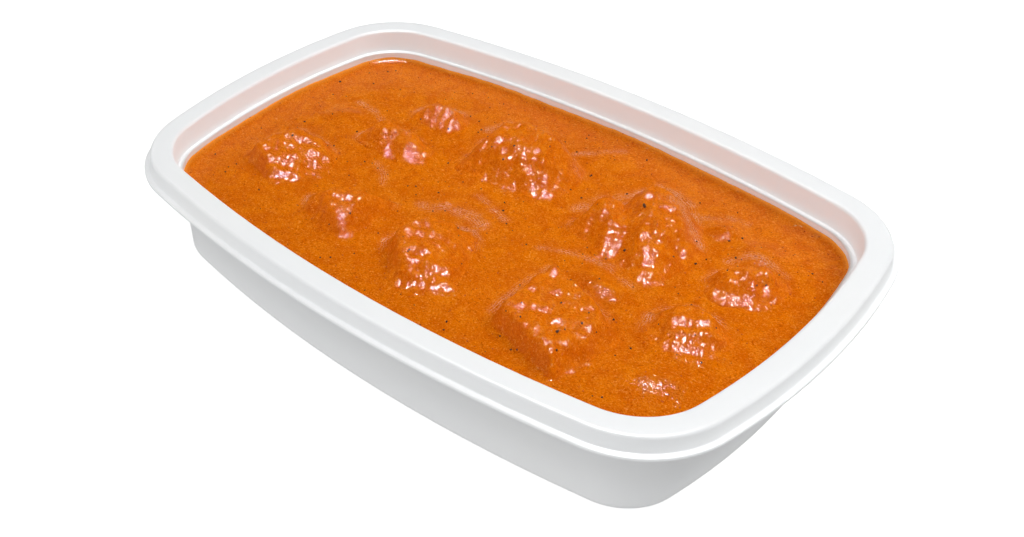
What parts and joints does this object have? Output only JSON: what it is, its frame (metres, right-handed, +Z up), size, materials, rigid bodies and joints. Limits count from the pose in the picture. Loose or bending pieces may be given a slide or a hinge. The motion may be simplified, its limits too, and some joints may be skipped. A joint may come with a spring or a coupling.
{
  "type": "tray of chicken tikka masala",
  "caption": "Chicken tikka masala: uneven chunks of chicken in a thick orange tomato and cream sauce, filling a white plastic ready-meal tray with bowed sides and a stepped rim.",
  "frame": {"origin": "centre of the tray's flat base, on the surface it stands on", "axes": "+X along the tray's long side, +Y across it, +Z up"},
  "size_m": [0.2292, 0.1544, 0.0412],
  "materials": {
    "tray_plastic": "satin white, moulded polypropylene",
    "masala_sauce": "wet, glossy, finely grained orange sauce",
    "sauced_chicken": "lumpy meat under a thin wet coat of orange sauce"
  },
  "bodies": {
    "root": {"tray": "tray_plastic", "sauce": "masala_sauce", "chicken_front": "sauced_chicken", "chicken_right_of_centre": "sauced_chicken", "chicken_left_of_centre": "sauced_chicken", "chicken_back": "sauced_chicken", "chicken_back_left": "sauced_chicken", "chicken_back_corner": "sauced_chicken", "chicken_left": "sauced_chicken", "chicken_front_left": "sauced_chicken", "chicken_right": "sauced_chicken", "chicken_front_right": "sauced_chicken"}
  },
  "joints": []
}
